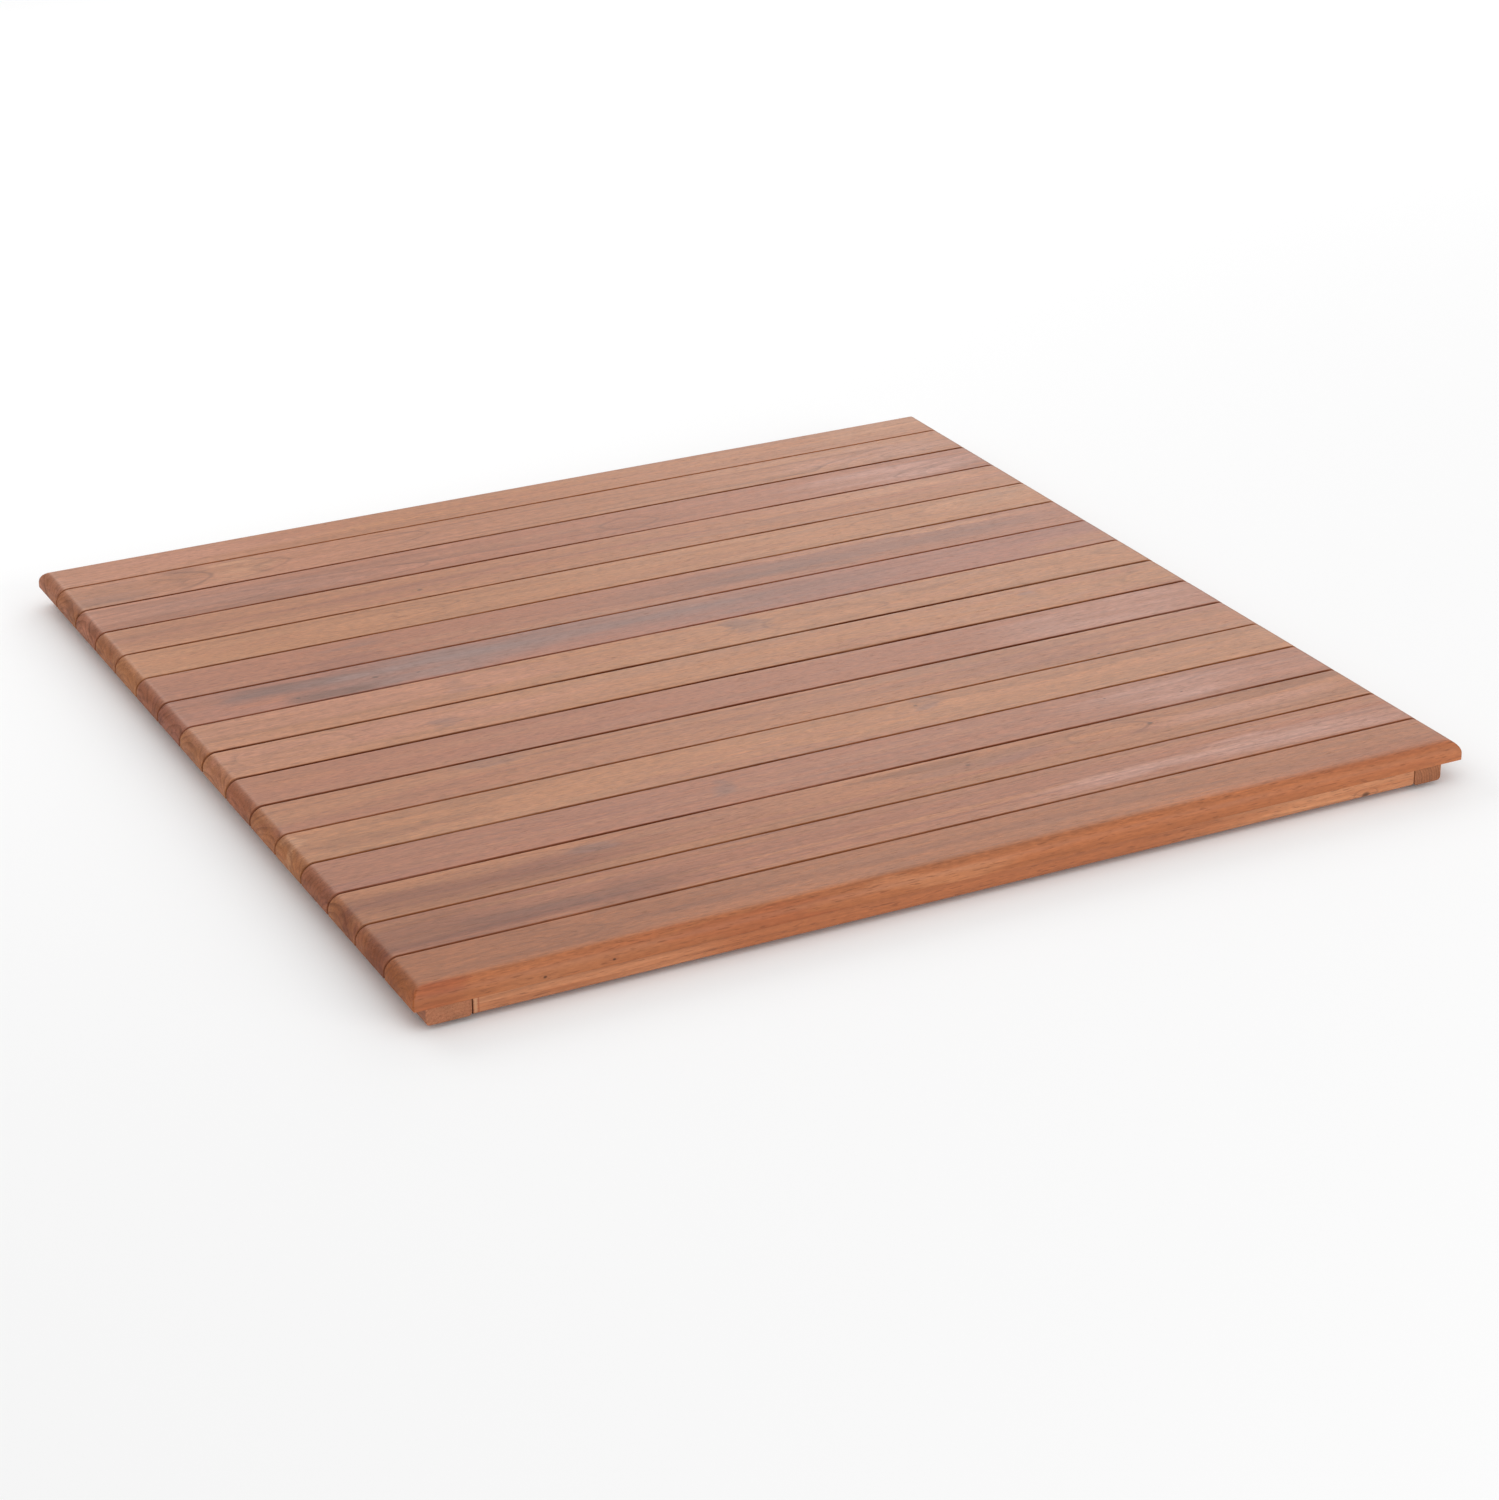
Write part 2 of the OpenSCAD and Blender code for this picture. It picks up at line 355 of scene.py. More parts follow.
    def add_patches(self, colour):
        """Soft-edged patches of another colour, broken up by the grain. None show from below."""
        loose = (self.add(self.along, self.scale(self.push[0], 0.07)),
                 self.add(self.across, self.scale(self.push[1], 1.5)))
        broken = self.add(self.ramp(self.streak, 0.3, 0.7, 0.35, 1.3), self.tear)
        broken = self.scale(broken, self.not_below)
        for along, across, length, width, tint, strength in self.look.patches:
            area = self.spot(loose, (along, across), (length, width * 1.15))
            area = self.math("MULTIPLY", area, broken, clamp=True)
            colour = self.mix(self.scale(area, 0.85 * strength), colour, tint)
        return colour

    def add_arches(self, colour):
        """Each arch is a parabola with its tip at a place along the board, fading on its legs."""
        waver = self.add(self.along, self.scale(self.push[0], 0.018))
        for tip, middle, width, depth, opens, strength in self.look.arches:
            off = self.scale(self.add(self.across, -middle), 1 / width)
            bend = self.scale(off, off)
            past = self.add(self.scale(self.add(waver, -tip), opens), self.scale(bend, -depth))
            thick = self.ramp(bend, 0.0, 3.0, 1.3 * MM / self.half_length,
                              8 * MM / self.half_length)
            arch = self.ramp(self.math("ABSOLUTE", past), 0.0, thick, 1.0, 0.0)
            arch = self.scale(arch, self.ramp(bend, 0.8, 3.5, strength, 0.0))
            colour = self.mix(self.scale(arch, self.not_below), colour, UMBER)
        return colour

    def add_fibres(self, colour):
        """Fibres, flecks and pores. The flecks are stronger on the weathered upper face."""
        look = self.look
        fleck = self.field(190, 1050, 3.3, roughness=0.6)
        fleck = self.scale(self.ramp(fleck, 0.25, 0.75, -0.30, 0.25, smooth=False),
                           self.ramp(self.level, 0.5, 0.95, 0.45, 1.0))
        tone = self.scale(self.add(fleck, 1.0),
                          self.ramp(self.fibre, 0.25, 0.75, 0.87 * look.tone, 1.10 * look.tone,
                                    smooth=False))
        tone = self.scale(tone, self.ramp(self.streak, 0.3, 0.7, 0.90, 1.10, smooth=False))
        if look.curl:
            ribbon = self.field(75, 190, 4.4)
            tone = self.scale(tone, self.ramp(ribbon, 0.3, 0.7, 1 - look.curl, 1 + look.curl,
                                              smooth=False))
        colour = self.mix(1.0, colour, self.join(tone, tone, tone), blend="MULTIPLY")
        return self.mix(self.scale(self.pores, 0.42), colour, UMBER)

    def add_knots(self, colour):
        """Dark knots with ragged ends."""
        for *place, size in self.look.knots:
            reach = self.knot_reach(size, 1.5, 1)
            ragged = self.add(self.along, self.scale(self.tear, reach[0] * 0.5))
            area = self.spot((ragged, self.across, self.up), place, reach)
            colour = self.mix(self.scale(area, 0.8), colour, KNOT)
        return colour

    def add_end_grain(self, colour):
        """End grain drinks more oil, so it is stained unevenly, and the pores are cut across. The
        ends are also lightened with painted light, and a strip of painted shade runs along the
        round-over, where the long face turns into it."""
        look = self.look
        dots = self.ramp(self.field(900, 1300, detail=1.0), 0.42, 0.68)
        mottle = self.noise(self.grain, (60, 90, 260), detail=3.0, seed=self.seed + 1.1)
        mottle = self.ramp(mottle, 0.45, 0.70)
        stain = self.add(self.scale(dots, 0.09), self.scale(self.blotch, 0.24 * look.end_tone))
        stain = self.add(stain, self.scale(self.late, 0.06 + 0.30 * look.lines))
        stain = self.add(stain, self.scale(mottle, 0.10 + 0.25 * look.end_tone))
        # painted light: the ends are lightened before the stain goes on
        painted_light_end = self.mix(1.0, colour, END_PAINTED_LIGHT, blend="MULTIPLY")
        colour = self.mix(self.end, colour, self.mix(stain, painted_light_end, UMBER))
        # painted shade along the round-over
        shade_band = self.scale(self.ramp(self.facing, 0.12, 0.40),
                          self.ramp(self.facing, 0.80, 0.97, 1.0, 0.0))
        return self.mix(self.scale(shade_band, 0.08 + 0.18 * look.end_tone), colour, ROUND_OVER_SHADE)

    def add_stripes(self, colour):
        """Straight lines of colour across the board."""
        for along, half_width, tint in self.look.stripes:
            far = self.scale(self.add(self.along, -along), 2 * self.half_length)
            stripe = self.ramp(self.math("ABSOLUTE", far), (half_width - 0.3) * MM,
                               (half_width + 0.3) * MM, 0.9, 0.0)
            colour = self.mix(stripe, colour, tint)
        return colour

    def add_wear_and_sheen(self, colour):
        """The upper face is painted paler, up to where the round-over turns down: partly sanding
        and wear, partly a painted sheen of the light it catches.
        """
        worn_and_sheen = self.ramp(self.level, 0.88, 0.985)
        return self.mix(self.scale(worn_and_sheen, 0.14), colour, WORN_AND_SHEEN)

    def add_dirt_and_shade(self, colour, gloss, seams):
        """Painted shade of the drain gap, mixed with dull soiling and old oil, along the edges that
        face it, uneven along the joint and weaker at the board's ends. Gives back the colour and
        the gloss."""
        uneven = self.noise_1d(self.add(self.scale(self.x, 9.0), self.seed * 3.7))
        uneven = self.ramp(uneven, 0.3, 0.7, 0.65, 1.15)
        inland = self.ramp(self.math("ABSOLUTE", self.from_middle),
                           0.5 - 5 * MM / self.half_length, 0.5 - 1 * MM / self.half_length,
                           1.0, 0.3)
        for side, dirt_and_shade in seams:
            edge = self.ramp(self.scale(self.across, side), 1 - 0.9 * MM / self.half_width,
                             1 - 0.35 * MM / self.half_width)
            # painted shade of the gap, with soiling, darkens and dulls the edges that face it
            grime_and_shade = self.scale(edge, self.scale(inland, uneven))
            colour = self.mix(self.math("MULTIPLY", grime_and_shade, 0.8 * dirt_and_shade, clamp=True), colour, GRIME_AND_SHADE)
            gloss = self.scale(gloss, self.ramp(grime_and_shade, 0.0, 1.0, 1.0, 0.15))
        return colour, gloss

    def shade(self, colour, gloss):
        """Feeds the shader, with a finish that is duller on the ends and in the pores."""
        rough = self.add(self.ramp(self.fibre, 0.2, 0.8, 0.40, 0.56, smooth=False),
                         self.scale(self.end, 0.12))
        height = self.add(self.scale(self.fibre, 0.5), self.scale(self.pores, -0.8))
        inputs = self.shader.inputs
        self.feed(inputs["Base Color"], colour)
        self.feed(inputs["Roughness"], self.add(rough, self.scale(self.pores, 0.1)))
        self.feed(inputs["Normal"], self.bump(height, 0.06 * MM))
        self.feed(inputs["Specular IOR Level"], gloss)
        inputs["IOR"].default_value = 1.5


def wood(name, node, look, seed, lengthways="X", seams=()):
    """The material of one board. Seams are the sides, -1 or 1 across, that face a drain gap, and
    how strongly soiling and painted shade darken each one."""
    timber = Timber(name, node, look, seed, lengthways)
    count = timber.growth_rings()
    lines = timber.late_wood(count)
    colour = timber.add_patches(timber.main_colours(count))
    colour = timber.mix(timber.scale(lines, look.lines), colour, UMBER)
    for add in (timber.add_arches, timber.add_fibres, timber.add_knots, timber.add_end_grain,
                timber.add_stripes, timber.add_wear_and_sheen):
        colour = add(colour)
    gloss = timber.ramp(timber.facing, 0.05, 0.40, look.sheen, min(END_SHEEN, look.sheen))
    colour, gloss = timber.add_dirt_and_shade(colour, gloss, seams)
    timber.shade(colour, gloss)
    return timber.material


def steel():
    """Plain stainless steel, turned, so fine rings brighten and dull it."""
    g = Graph("screw_steel")
    place = g.node("ShaderNodeTexCoord").outputs["Object"]
    wear = g.noise(place, (900, 900, 900), detail=3.0, roughness=0.6)
    g.feed(g.shader.inputs["Base Color"],
           g.mix(g.ramp(wear, 0.3, 0.7), rgb(196, 194, 188), rgb(168, 166, 162)))
    g.feed(g.shader.inputs["Roughness"], g.ramp(wear, 0.3, 0.7, 0.24, 0.42))
    g.feed(g.shader.inputs["Normal"], g.bump(wear, 0.02 * MM))
    g.shader.inputs["Metallic"].default_value = 1.0
    return g.material


def rubber():
    """Matte dark rubber with a fine moulded grain and a little dust."""
    g = Graph("foot_rubber")
    place = g.node("ShaderNodeTexCoord").outputs["Object"]
    grain = g.noise(place, (2600, 2600, 2600), detail=2.0)
    dust = g.ramp(g.noise(place, (320, 320, 320), detail=3.0, roughness=0.65), 0.45, 0.75)
    g.feed(g.shader.inputs["Base Color"],
           g.mix(g.scale(dust, 0.5), rgb(38, 37, 36), rgb(72, 69, 66)))
    g.feed(g.shader.inputs["Roughness"], g.ramp(grain, 0.3, 0.7, 0.62, 0.80))
    g.feed(g.shader.inputs["Normal"], g.bump(grain, 0.05 * MM))
    return g.material


def floor_paint():
    """A pale studio floor."""
    g = Graph("floor_paint")
    g.shader.inputs["Base Color"].default_value = (0.90, 0.90, 0.90, 1.0)
    g.shader.inputs["Roughness"].default_value = 0.9
    g.shader.inputs["Specular IOR Level"].default_value = 0.1
    return g.material


# ---- Boards ----


def quarter(radius, distance):
    """How far a quarter-round of this radius has dropped, this far in from the edge."""
    if distance >= radius:
        return 0.0
    inside = radius - max(distance, 0.0)
    return radius - math.sqrt(radius * radius - inside * inside)


def soft_min(a, b, blend):
    """The lower of two heights, with the crease between them blended."""
    t = max(blend - abs(a - b), 0.0) / blend
    return min(a, b) - t * t * blend / 4


def steps(reach, count):
    """Distances in from an edge that space a quarter-round's points evenly along its arc."""
    return [reach * (1 - math.cos(math.pi / 2 * k / count)) for k in range(count + 1)]


def stations(half, edge, edge_steps, spacing):
    """Positions along one direction of a board, close together over its rounded ends."""
    ends = steps(edge, edge_steps)
    middle = 2 * (half - edge)
    inner = max(1, round(middle / spacing))
    left = [-half + d for d in ends]
    centre = [-half + edge + middle * k / inner for k in range(1, inner)]
    return left + centre + [-v for v in reversed(left)]


def wobble(x, seed, per_metre):
    """Smooth noise along a board, about -0.5 to 0.5."""
    return noise.noise(Vector((x * per_metre, seed * 3.7, seed * 1.3))) * 0.8


class Board:
    """A board with its length along X, as a grid of points wrapped round it. Its upper end
    edges, upper long edges and lower edges each have their own radius."""

    def __init__(self, low, high, seed, end_top, front_top, back_top, lower_front, lower_back,
                 lower_end, upright, uneven):
        self.low, self.high, self.seed = low, high, seed
        self.half = (high - low) / 2
        self.end_top, self.front_top, self.back_top = end_top, front_top, back_top
        self.lower_front, self.lower_back = lower_front, lower_back
        self.lower_end, self.upright = lower_end, upright
        self.uneven = uneven

    def top_drop(self, x, y):
        """How far the upper face lies below the board's highest level."""
        edges = ((self.front_top, self.half.y + y), (self.back_top, self.half.y - y))
        end = quarter(self.end_top, self.half.x - abs(x))
        rim = max([quarter(r, d) for r, d in edges if r >= ARRIS_MOST], default=0.0)
        drop = -soft_min(-end, -rim, CREASE)
        vary = 1 + 0.5 * wobble(x, self.seed + (5 if y > 0 else 9), 14)
        for radius, distance in edges:
            if 0 < radius < ARRIS_MOST:
                drop += quarter(radius * vary, distance)
        hollow = 0.5 + wobble(x, self.seed, 6)
        return drop + self.uneven * max(0.0, hollow) * (0.6 + 0.4 * (y / self.half.y) ** 2)

    def bottom_rise(self, x, y):
        """How far the lower face lies above the board's lowest level."""
        return max(quarter(self.lower_end, self.half.x - abs(x)),
                   quarter(self.lower_front, self.half.y + y),
                   quarter(self.lower_back, self.half.y - y))

    def widths(self):
        """Positions across the board, close together over its long edges."""
        front, back = (steps(max(upper, lower), 10 if upper > ARRIS_MOST else 5)
                       for upper, lower in ((self.front_top, self.lower_front),
                                            (self.back_top, self.lower_back)))
        inner_low, inner_high = -self.half.y + front[-1], self.half.y - back[-1]
        count = max(4, round((inner_high - inner_low) / WIDTH_STEP))
        middle = [inner_low + (inner_high - inner_low) * k / count for k in range(1, count)]
        return ([-self.half.y + d for d in front] + middle
                + [self.half.y - d for d in reversed(back)])

    def mesh(self, name):
        """The board's surface: its upper and lower faces, its two sides and its two ends."""
        xs = stations(self.half.x, max(self.end_top, self.lower_end, self.upright), 12,
                      BOARD_STEP)
        ys = self.widths()
        centre = (self.low + self.high) / 2
        built = bmesh.new()

        def point(x, y, z):
            squeeze = 1 - quarter(self.upright, self.half.x - abs(x)) / self.half.y
            return built.verts.new((centre.x + x, centre.y + y * squeeze, z))

        upper = [[point(x, y, self.high.z - self.top_drop(x, y)) for y in ys] for x in xs]
        lower = [[point(x, y, self.low.z + self.bottom_rise(x, y)) for y in ys] for x in xs]
        last_x, last_y = len(xs) - 1, len(ys) - 1
        for i in range(last_x):
            for j in range(last_y):
                built.faces.new((upper[i][j], upper[i + 1][j], upper[i + 1][j + 1],
                                 upper[i][j + 1]))
                built.faces.new((lower[i][j], lower[i][j + 1], lower[i + 1][j + 1],
                                 lower[i + 1][j]))
            for j, way in ((0, 1), (last_y, -1)):
                built.faces.new((lower[i][j], lower[i + 1][j], upper[i + 1][j],
                                 upper[i][j])[::way])
        for j in range(last_y):
            for i, way in ((0, -1), (last_x, 1)):
                built.faces.new((lower[i][j], lower[i][j + 1], upper[i][j + 1],
                                 upper[i][j])[::way])
        mesh = bpy.data.meshes.new(name)
        built.to_mesh(mesh)
        built.free()
        return mesh


def place_piece(name, mesh, material, nodes):
    """Adds a piece that rides on the mat and stands for these CAD nodes."""
    piece = bpy.data.objects.new(name, mesh)
    bpy.context.scene.collection.objects.link(piece)
    mesh.materials.append(material)
    mesh.shade_smooth()
    mesh.set_sharp_from_angle(angle=SHARP_ANGLE)
    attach(piece, BODY)
    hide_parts(*nodes)
    return piece


def add_slat(node, look, seed):
    """A slat stands back from its CAD faces where a joint is wide."""
    low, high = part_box(node)
    first, last = node == SLATS[0], node == SLATS[-1]
    number = SLATS.index(node)
    front_inset, front_arris, front_dirt_and_shade = (0, 0, 0) if first else SEAMS[number - 1]
    back_inset, back_arris, back_dirt_and_shade = (0, 0, 0) if last else SEAMS[number]
    low = low + Vector((0, front_inset * MM, 0))
    high = high - Vector((0, back_inset * MM, 0))
    board = Board(low, high, seed, end_top=RIM_RADIUS,
                  front_top=RIM_RADIUS if first else front_arris * MM,
                  back_top=RIM_RADIUS if last else back_arris * MM,
                  lower_front=0.0 if first else LOWER_EDGE,
                  lower_back=0.0 if last else LOWER_EDGE,
                  lower_end=LOWER_EDGE, upright=LOWER_EDGE, uneven=SLAT_HOLLOW)
    seams = [(side, dirt_and_shade) for side, dirt_and_shade in ((-1, front_dirt_and_shade), (1, back_dirt_and_shade)) if dirt_and_shade]
    return place_piece(node + "_board", board.mesh(node + "_board"),
                       wood(node + "_wood", node, look, seed, seams=seams), [node])


def islands(mesh):
    """The middle and the half width of each loose part of a mesh, seen from above, in order."""
    built = bmesh.new()
    built.from_mesh(mesh)
    bmesh.ops.remove_doubles(built, verts=built.verts, dist=0.001 * MM)
    waiting, found = set(built.verts), []
    while waiting:
        part, front = [], [waiting.pop()]
        while front:
            vert = front.pop()
            part.append(vert.co.copy())
            for edge in vert.link_edges:
                other = edge.other_vert(vert)
                if other in waiting:
                    waiting.remove(other)
                    front.append(other)
        xs, ys = [v.x for v in part], [v.y for v in part]
        found.append(((min(xs) + max(xs)) / 2, (min(ys) + max(ys)) / 2,
                      (max(xs) - min(xs)) / 2))
    built.free()
    return sorted(found)


def lathe(built, x, y, profile, count=32):
    """Adds a solid of revolution about an upright axis, from (radius, height) points."""
    rings = [[built.verts.new((x + r * math.cos(2 * math.pi * k / count),
                               y + r * math.sin(2 * math.pi * k / count), z))
              for k in range(count)] for r, z in profile]
    for lower, upper in zip(rings, rings[1:]):
        for k in range(count):
            n = (k + 1) % count
            built.faces.new((lower[k], lower[n], upper[n], upper[k]))
    built.faces.new(rings[0][::-1])
    built.faces.new(rings[-1])


def cut_screw_holes(piece, node, base, top):
    """Bores a countersunk hole in a rail round each of its screws."""
    built = bmesh.new()
    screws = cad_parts["screws_" + node]
    for x, y, head in islands(screws.data):
        shank = head / 2 + SCREW_CLEARANCE
        head += SCREW_CLEARANCE
        lathe(built, x, y, [(head, base - MM), (head, base + HEAD_RECESS),
                            (shank, base + HEAD_RECESS + head - shank), (shank, top + MM)])
    mesh = bpy.data.meshes.new("cutter")
    built.to_mesh(mesh)
    built.free()
    cutter = bpy.data.objects.new("cutter", mesh)
    bpy.context.scene.collection.objects.link(cutter)
    cut = piece.modifiers.new("holes", "BOOLEAN")
    cut.operation, cut.solver, cut.object = "DIFFERENCE", "EXACT", cutter
    bpy.context.view_layer.update()
    graph = bpy.context.evaluated_depsgraph_get()
    bored = bpy.data.meshes.new_from_object(piece.evaluated_get(graph))
    piece.modifiers.remove(cut)
    piece.data = bored
    bored.set_sharp_from_angle(angle=SHARP_ANGLE)
    bpy.data.objects.remove(cutter)


def add_rail(node, look, seed, lengthways):
    """A rail is built along X round the origin, then turned and moved to its place."""
    low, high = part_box(node)
    size, centre = high - low, (low + high) / 2
    length, width = (size.x, size.y) if lengthways == "X" else (size.y, size.x)
    half = Vector((length / 2, width / 2, size.z / 2))
    board = Board(-half, half, seed, end_top=0.0, front_top=0.0, back_top=0.0,
                  lower_front=RAIL_EDGE, lower_back=RAIL_EDGE, lower_end=LOWER_EDGE,
                  upright=RAIL_CORNER, uneven=0.0)
    mesh = board.mesh(node + "_board")
    turn = Matrix.Rotation(0 if lengthways == "X" else math.pi / 2, 4, "Z")
    mesh.transform(Matrix.Translation(centre) @ turn)
    piece = place_piece(node + "_board", mesh,
                        wood(node + "_wood", node, look, seed, lengthways), [node])
    cut_screw_holes(piece, node, low.z, high.z)


# ---- The looks of each board, front to back and left to right ----

